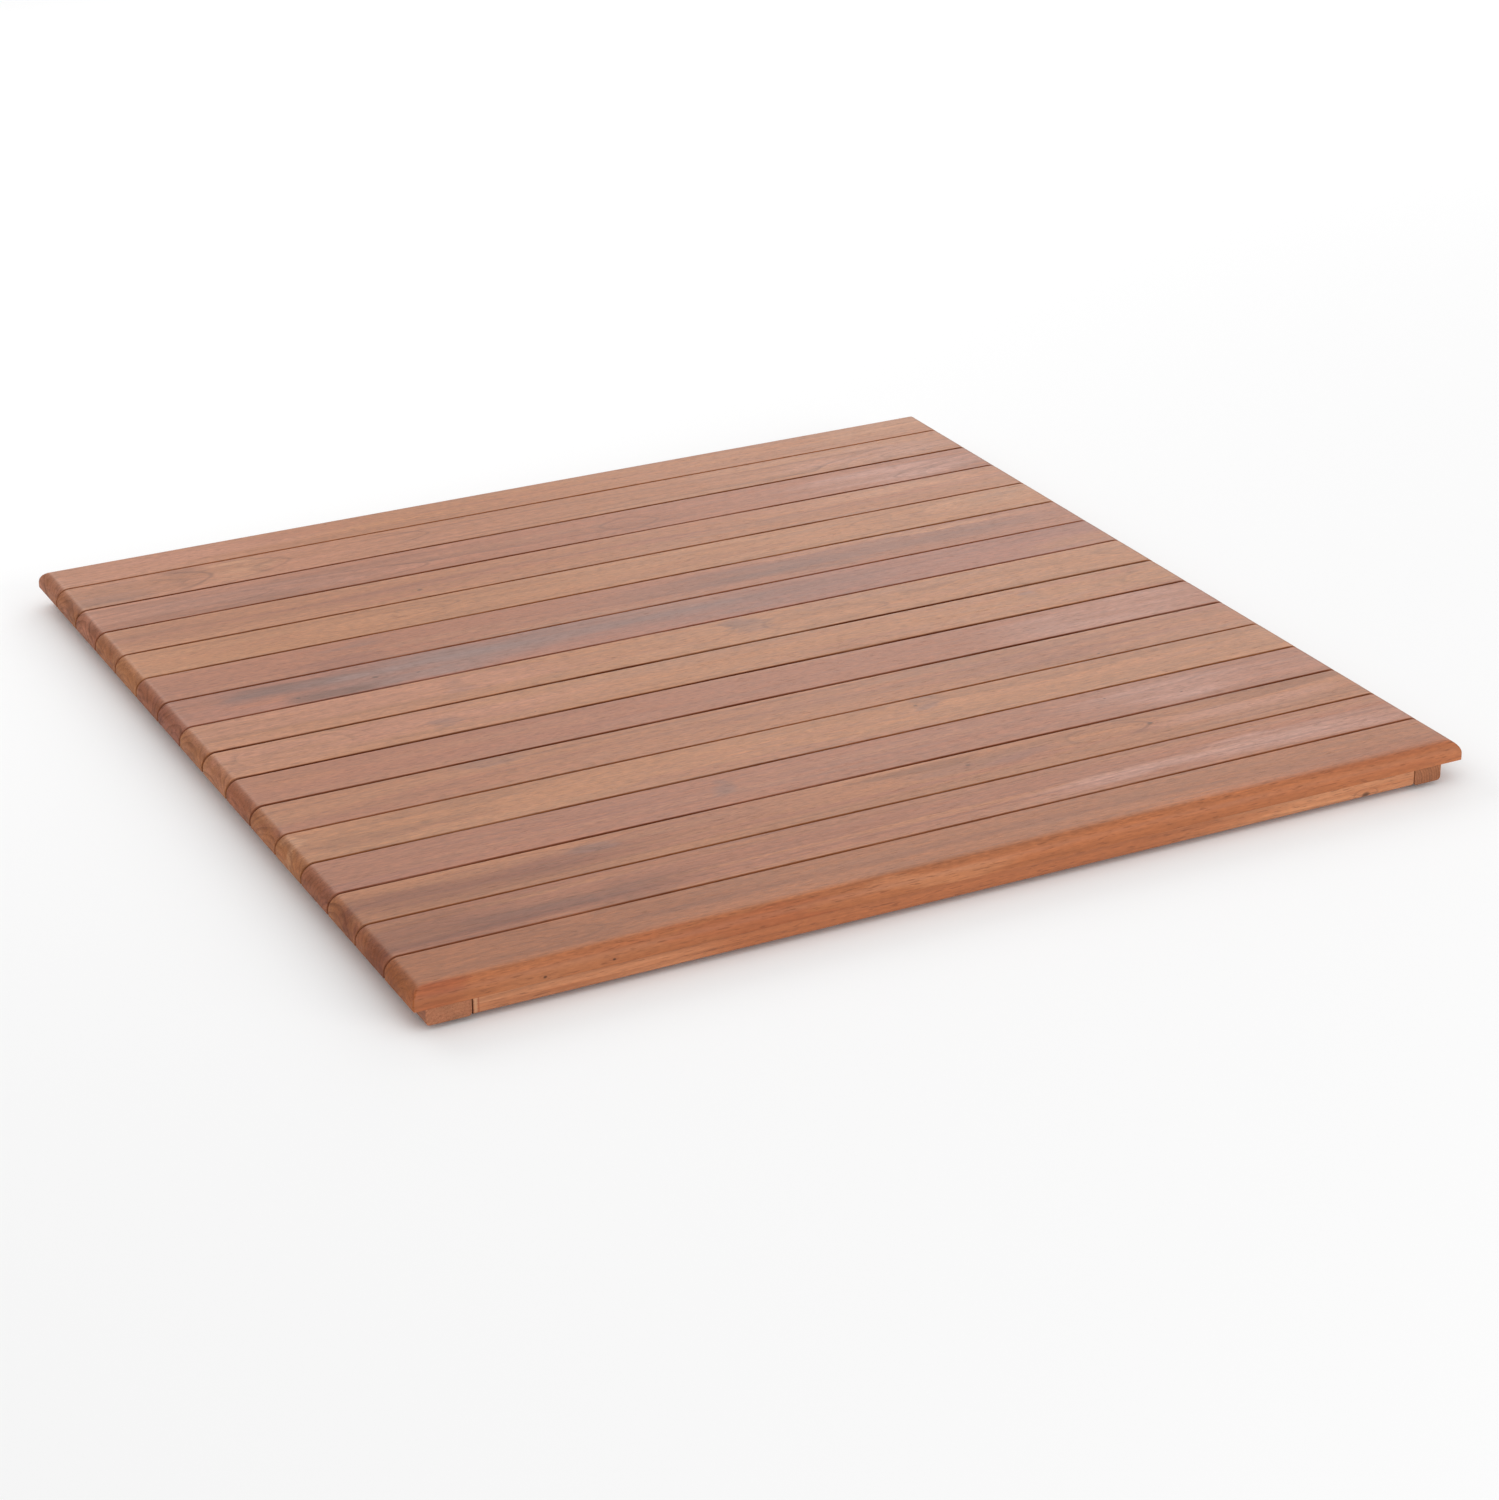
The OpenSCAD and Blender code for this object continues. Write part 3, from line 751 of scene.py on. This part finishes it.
# The pale haze patches near the right ends are painted sheen: reflected light painted as colour.
SLAT_LOOKS = [
    Look(rgb(168, 100, 60), rgb(158, 90, 54), heart=(-0.5, -1.0), lines=0.35, bands=0.4,
         tone=1.06, end_tone=0.2, sheen=0.33, eyes=((0.16, 0.3, 0.05, 0.8, 1.6),),
         arches=((0.178, 0.1, 0.4, 0.03, -1, 0.3), (0.155, 0.1, 0.35, 0.03, -1, 0.25),
                 (0.132, 0.1, 0.3, 0.025, -1, 0.25)),
         patches=((0.5, 0.3, 1.0, 1.1, rgb(116, 74, 50), 0.5),
                  (0.03, 0.3, 0.36, 1.1, rgb(122, 64, 32), 0.6),
                  (0.025, -1.0, 0.03, 0.3, RED_BROWN, 0.7), (0.6, -1.0, 0.3, 0.12, AMBER, 0.5),
                  (0.30, -1.0, 0.16, 0.12, RED_BROWN, 0.5), (0.20, -1.0, 0.2, 0.1, AMBER, 0.4),
                  (0.45, -1.0, 0.12, 0.14, PALE, 0.35)),
         knots=((0.112, -1.0, -0.6, 0.9), (0.172, -1.0, -0.5, 0.8))),
    Look(ROSE, TAN, heart=(1.6, -0.8), bands=0.55, lines=0.4, end_tone=0.4, sheen=0.35,
         patches=((0.08, -0.3, 0.26, 0.9, rgb(106, 56, 42), 1.0), (0.16, -0.2, 0.1, 0.4, GREY, 0.3),
                  (0.02, 0.2, 0.1, 1.0, rgb(140, 80, 46), 0.6),
                  (0.82, -0.4, 0.26, 0.5, PAINTED_SHEEN, 0.9), (0.45, 0.8, 0.5, 0.3, TAN, 0.6))),
    Look(TAN, ROSE, heart=(0.5, -1.1), slope=(0.6, 0.2), bands=0.5, lines=0.55, end_tone=0.3,
         sheen=0.35,
         eyes=((0.70, 0.2, 0.13, 0.9, 1.5), (0.30, 0.4, 0.10, 0.8, -1.5)),
         arches=((0.689, 0.3, 0.3, 0.008, 1, 0.35), (0.776, 0.25, 0.3, 0.012, -1, 0.5),
                 (0.233, 0.25, 0.4, 0.03, -1, 0.3)),
         patches=((0.08, -0.3, 0.24, 0.9, rgb(112, 60, 44), 0.9), (0.30, 0.3, 0.2, 0.8, MAUVE, 0.5),
                  (0.235, 0.3, 0.03, 0.5, GREY, 0.8),
                  (0.60, 0.35, 0.10, 0.5, GREY, 0.5), (0.72, 0.1, 0.08, 0.35, GOLD, 0.8),
                  (0.88, -0.1, 0.12, 0.6, PAINTED_SHEEN, 0.5)),
         knots=((0.588, 0.2, 1, 1.2), (0.777, 0.25, 1, 1.5))),
    Look(ROSE, MAUVE, heart=(-1.2, -0.9), bands=0.45, lines=0.3, curl=0.03, end_tone=0.9,
         eyes=((0.15, 0.6, 0.10, 0.8, -1.5), (0.80, 0.2, 0.12, 0.9, 1.5)),
         patches=((0.373, 0.1, 0.014, 0.5, GREY, 0.8), (0.86, 0.1, 0.16, 0.8, PAINTED_SHEEN, 0.8),
                  (0.93, -0.3, 0.08, 0.5, ROSE, 0.6)),
         knots=((0.77, 0.35, 1, 0.8), (0.84, -0.3, 1, 0.9))),
    Look(GOLD, TAN, heart=(0.8, -2.0), bands=0.5, lines=0.25, curl=0.06, end_tone=0.5,
         eyes=((0.61, 0.5, 0.03, 0.6, 1.2),),
         patches=((0.09, -0.15, 0.14, 0.35, UMBER, 0.35), (0.615, 0.55, 0.02, 0.4, GREY, 0.7),
                  (0.42, -0.85, 0.36, 0.25, ROSE, 0.7), (0.0, 0.3, 0.012, 0.7, PALE, 0.8)),
         knots=((0.61, 0.5, 1, 1.0),)),
    Look(TAN, ROSE, heart=(-0.6, -1.4), slope=(0.5, 0.3), bands=0.5, lines=0.4, end_tone=0.4,
         patches=((0.225, 0.75, 0.045, 0.4, GREY, 0.8), (0.80, -0.3, 0.22, 0.35, MAUVE, 0.7),
                  (0.70, 0.4, 0.2, 0.3, GREY, 0.3)),
         knots=((0.82, -0.75, 1, 0.9),)),
    Look(ROSE, rgb(170, 103, 72), heart=(0.2, -3.0), bands=0.5, lines=0.15, wander=0.7,
         end_tone=0.9,
         patches=((0.05, 0.4, 0.05, 0.7, TAN, 0.6), (0.87, -0.1, 0.16, 1.1, PAINTED_SHEEN, 0.95),
                  (0.35, -0.4, 0.25, 0.5, MAUVE, 0.35))),
    Look(GOLD, ROSE, heart=(0.2, -1.2), slope=(-0.5, 0.2), bands=0.4, lines=0.4, curl=0.05,
         eyes=((0.08, 0.2, 0.08, 0.9, 2.0), (1.02, 0.0, 0.14, 0.9, 2.5)),
         patches=((0.14, 0.0, 0.30, 1.2, PINK, 0.7), (0.217, -0.3, 0.02, 0.5, GREY, 0.8),
                  (0.84, 0.2, 0.016, 0.35, GREY, 0.7), (0.45, 0.6, 0.15, 0.4, GREY, 0.3)),
         knots=((0.30, -0.7, 1, 0.6),)),
    Look(GOLD, TAN, heart=(0.1, -1.0), bands=0.5, lines=0.35, end_tone=0.8,
         eyes=((0.40, 0.1, 0.20, 1.4, 2.2), (0.64, -0.1, 0.10, 1.3, 1.8),
               (0.88, -0.3, 0.12, 1.1, 1.4)),
         arches=((0.545, 0.3, 0.7, 0.03, -1, 0.25), (0.572, -0.1, 0.5, 0.02, 1, 0.3),
                 (0.705, -0.2, 0.4, 0.03, -1, 0.3)),
         patches=((0.14, 0.1, 0.30, 1.2, PINK, 0.7), (0.555, 0.3, 0.03, 0.7, GREY, 0.8),
                  (0.25, -0.2, 0.02, 0.6, GREY, 0.4), (0.75, 0.6, 0.15, 0.4, GREY, 0.3))),
    Look(rgb(158, 98, 78), MAUVE, heart=(-0.4, -1.3), slope=(0.8, 0.0), bands=0.6, lines=0.4,
         end_tone=1.0, eyes=((0.18, -0.2, 0.08, 0.8, 2.0),),
         patches=((0.12, 0.3, 0.09, 0.6, SLATE, 0.85), (0.17, -0.6, 0.07, 0.5, SLATE, 0.6),
                  (0.26, 0.1, 0.15, 1.0, BLUISH_GREY_AND_SHEEN, 1.0), (0.10, 0.7, 0.05, 0.3, KNOT, 0.4),
                  (0.15, -0.7, 0.05, 0.3, KNOT, 0.4), (0.42, 0.3, 0.24, 0.8, BLUISH_GREY_AND_SHEEN, 0.7),
                  (0.09, -0.4, 0.04, 0.3, AMBER, 0.5),
                  (0.45, 0.2, 0.3, 0.9, SLATE, 0.25), (0.60, -0.2, 0.22, 0.7, GREY, 0.6),
                  (0.97, -0.5, 0.08, 0.5, GOLD, 0.7), (0.03, 0.0, 0.035, 1.0, ROSE, 0.7)),
         knots=((0.20, -0.15, 1, 1.8), (0.12, -0.55, 1, 1.3), (0.24, -0.4, 1, 1.0))),
    Look(ROSE, MAUVE, heart=(0.6, -1.2), bands=0.5, lines=0.35, end_tone=0.8,
         patches=((0.72, 0.0, 0.32, 0.65, SLATE, 0.6), (0.62, -0.3, 0.16, 0.4, SLATE, 0.4),
                  (0.82, 0.8, 0.25, 0.25, PALE, 0.5), (0.19, -0.6, 0.06, 0.35, MAUVE, 0.9),
                  (0.21, 0.4, 0.04, 0.25, GREY, 0.6), (0.98, -0.6, 0.1, 0.4, ROSE, 0.7))),
    Look(GOLD, TAN, heart=(-0.1, -1.4), bands=0.45, lines=0.45, end_tone=0.7,
         eyes=((0.26, -0.1, 0.11, 0.7, 1.6), (0.97, 0.0, 0.19, 1.0, 2.6)),
         arches=((0.34, 0.25, 0.25, 0.025, -1, 0.4), (0.776, 0.25, 0.3, 0.03, 1, 0.45),
                 (0.84, 0.0, 0.3, 0.03, 1, 0.25)),
         patches=((0.93, 0.3, 0.1, 0.6, PALE, 0.5), (0.60, 0.7, 0.25, 0.3, PALE, 0.3))),
    Look(TAN, ROSE, heart=(0.9, -1.7), bands=0.55, lines=0.35, end_tone=0.9,
         patches=((0.07, 0.0, 0.07, 0.8, ROSE, 0.6), (0.85, 0.5, 0.15, 0.4, PALE, 0.4),
                  (0.48, 0.2, 0.12, 0.4, ROSE, 0.5)),
         knots=((0.318, -0.35, 1, 1.5),)),
    Look(ROSE, MAUVE, heart=(0.1, -1.0), bands=0.4, lines=0.6, end_tone=1.0,
         eyes=((0.14, -0.2, 0.22, 0.7, 1.5), (1.02, -0.3, 0.15, 0.8, 2.0)),
         arches=((0.352, -0.35, 0.3, 0.025, -1, 0.5), (0.19, -0.1, 0.3, 0.02, -1, 0.35),
                 (0.546, -0.15, 0.4, 0.016, 1, 0.4), (0.606, -0.15, 0.4, 0.016, -1, 0.4),
                 (0.88, -0.5, 0.3, 0.03, 1, 0.45), (0.93, -0.2, 0.25, 0.02, 1, 0.3)),
         patches=((0.14, 0.1, 0.36, 1.2, PINK, 0.6), (0.16, -0.1, 0.18, 0.8, GREY, 0.4),
                  (0.845, 0.2, 0.02, 0.25, UMBER, 0.5),
                  (0.358, -0.2, 0.01, 0.15, UMBER, 0.6), (0.90, -0.1, 0.16, 0.8, PAINTED_SHEEN, 0.8))),
    Look(TAN, ROSE, heart=(-0.2, -1.0), bands=0.45, lines=0.6, end_tone=0.9,
         eyes=((0.16, 0.4, 0.08, 1.4, 1.2), (0.96, -0.5, 0.16, 0.9, 2.0)),
         arches=((0.150, 0.0, 0.6, 0.02, -1, 0.5), (0.233, 0.1, 0.6, 0.03, -1, 0.3),
                 (0.383, 0.2, 0.4, 0.025, -1, 0.4), (0.828, -0.4, 0.3, 0.04, -1, 0.45),
                 (0.90, -0.5, 0.35, 0.04, 1, 0.4), (0.95, -0.6, 0.2, 0.02, 1, 0.4)),
         patches=((0.22, 0.0, 0.36, 1.2, PINK, 0.6), (0.05, -0.2, 0.07, 0.9, GREY, 0.55),
                  (0.135, 0.3, 0.03, 0.7, UMBER, 0.3), (0.185, 0.2, 0.05, 0.8, PALE, 0.9),
                  (0.90, -0.2, 0.14, 0.7, PAINTED_SHEEN, 0.5))),
    Look(TAN, GOLD, heart=(1.4, -1.6), bands=0.5, lines=0.3, end_tone=1.0,
         patches=((0.06, 0.0, 0.30, 1.2, PINK, 0.9), (0.28, 0.3, 0.1, 0.4, ROSE, 0.5),
                  (0.95, 0.2, 0.1, 0.8, PALE, 0.4), (0.55, -0.3, 0.2, 0.4, ROSE, 0.3))),
]
RAIL_LOOKS = {
    "left_rail": Look(rgb(166, 108, 80), rgb(150, 102, 76), heart=(0.4, -2.4), rings=2.2,
                      lines=0.12, end_tone=0.0, sheen=0.1),
    "inner_rail_1": Look(TAN, ROSE, heart=(-0.8, -1.2)),
    "inner_rail_2": Look(AMBER, ROSE, heart=(0.2, -1.9)),
    "right_rail": Look(rgb(156, 100, 70), rgb(132, 90, 68), heart=(-3.0, -0.6), rings=1.4,
                       lines=0.4, end_tone=0.2, sheen=0.2),
    "front_rail": Look(AMBER, rgb(168, 94, 52), heart=(0.9, -1.2), lines=0.4, bands=0.4,
                       patches=((0.92, -1.0, 0.22, 0.5, rgb(216, 152, 108), 0.9),
                                (0.08, -1.0, 0.20, 0.5, rgb(212, 148, 106), 0.9)),
                       # The dark first stripe at the rail's left end is painted shade, standing for
                       # the slot between this rail and the left rail.
                       stripes=((0.0, 0.4, UMBER), (0.0028, 0.6, PALE), (0.0056, 0.2, RED_BROWN)),
                       knots=((0.943, -1.0, -0.6, 2.2),)),
    "back_rail": Look(TAN, AMBER, heart=(-0.9, -1.4)),
}

for number, (node, look) in enumerate(zip(SLATS, SLAT_LOOKS), start=1):
    add_slat(node, look, seed=number)
for number, (node, look) in enumerate(RAIL_LOOKS.items(), start=FIRST_RAIL_SEED):
    add_rail(node, look, seed=number, lengthways="X" if node in EDGE_RAILS else "Y")


# ---- Screws and feet keep their CAD shapes ----

screw_steel, foot_rubber = steel(), rubber()
for name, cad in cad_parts.items():
    if name.startswith(("screws_", "foot_")):
        is_screw = name.startswith("screws_")
        cad.data.materials.clear()
        cad.data.materials.append(screw_steel if is_screw else foot_rubber)


# ---- Studio ----

FLOOR_HALF = 9.0
# Where the camera stands, as solved from the photograph
AZIMUTH, ELEVATION, ROLL = math.radians(-26.44), math.radians(24.55), math.radians(-0.69)
AIM = Vector((-0.040, -0.132, cad_bounds[1][2]))  # the point in the middle of the picture
DISTANCE = 1.929
LENS, SENSOR_WIDTH = 87.2, 36.0


def add_floor():
    """A plain floor, level with the soles of the feet."""
    mesh = bpy.data.meshes.new("floor")
    corners = [(-1, -1), (1, -1), (1, 1), (-1, 1)]
    mesh.from_pydata([(x * FLOOR_HALF, y * FLOOR_HALF, 0.0) for x, y in corners], [],
                     [(0, 1, 2, 3)])
    floor = bpy.data.objects.new("floor", mesh)
    bpy.context.scene.collection.objects.link(floor)
    mesh.materials.append(floor_paint())


def add_softbox(name, position, aim, width, height, radiance):
    """A soft rectangular light that doesn't show in the picture itself."""
    light = bpy.data.lights.new(name, "AREA")
    light.shape, light.size, light.size_y = "RECTANGLE", width, height
    light.energy = radiance * math.pi * width * height
    lamp = bpy.data.objects.new(name, light)
    lamp.location = position
    lamp.rotation_euler = (Vector(aim) - Vector(position)).to_track_quat("-Z", "Y").to_euler()
    lamp.visible_camera = False
    bpy.context.scene.collection.objects.link(lamp)


def add_world(horizon, zenith):
    """A white studio that is dim round the horizon and bright overhead."""
    world = bpy.data.worlds.new("studio")
    world.use_nodes = True
    nodes, links = world.node_tree.nodes, world.node_tree.links
    backdrop = nodes["Background"]
    backdrop.inputs["Color"].default_value = (1.0, 1.0, 1.0, 1.0)
    direction = nodes.new("ShaderNodeSeparateXYZ")
    links.new(nodes.new("ShaderNodeTexCoord").outputs["Generated"], direction.inputs[0])
    fade = nodes.new("ShaderNodeMapRange")
    fade.interpolation_type = "SMOOTHSTEP"
    for socket, value in zip(fade.inputs[1:5], (0.1, 0.9, horizon, zenith)):
        socket.default_value = value
    links.new(direction.outputs["Z"], fade.inputs["Value"])
    links.new(fade.outputs[0], backdrop.inputs["Strength"])
    bpy.context.scene.world = world


def add_camera():
    """The camera looks at the mat from the photograph's angle."""
    back = Vector((math.sin(AZIMUTH) * math.cos(ELEVATION),
                   -math.cos(AZIMUTH) * math.cos(ELEVATION), math.sin(ELEVATION)))
    data = bpy.data.cameras.new("camera")
    data.lens, data.sensor_width = LENS, SENSOR_WIDTH
    camera = bpy.data.objects.new("camera", data)
    turn = (-back).to_track_quat("-Z", "Y").to_matrix().to_4x4()
    camera.matrix_world = (Matrix.Translation(AIM + back * DISTANCE) @ turn
                           @ Matrix.Rotation(ROLL, 4, "Z"))
    bpy.context.scene.collection.objects.link(camera)
    bpy.context.scene.camera = camera


add_floor()
add_world(horizon=0.42, zenith=1.01)
add_softbox("right_softbox", (1.7, 1.9, 0.95), (0.1, 0.1, 0), width=1.9, height=1.3, radiance=1.4)
add_softbox("back_softbox", (-0.6, 1.4, 0.9), (-0.1, 0.1, 0), width=1.2, height=0.7, radiance=2.5)
add_softbox("front_softbox", (1.0, -2.4, 0.85), (0, 0, 0), width=1.8, height=1.1, radiance=3.5)
add_camera()
bpy.context.scene.view_settings.view_transform = "Standard"
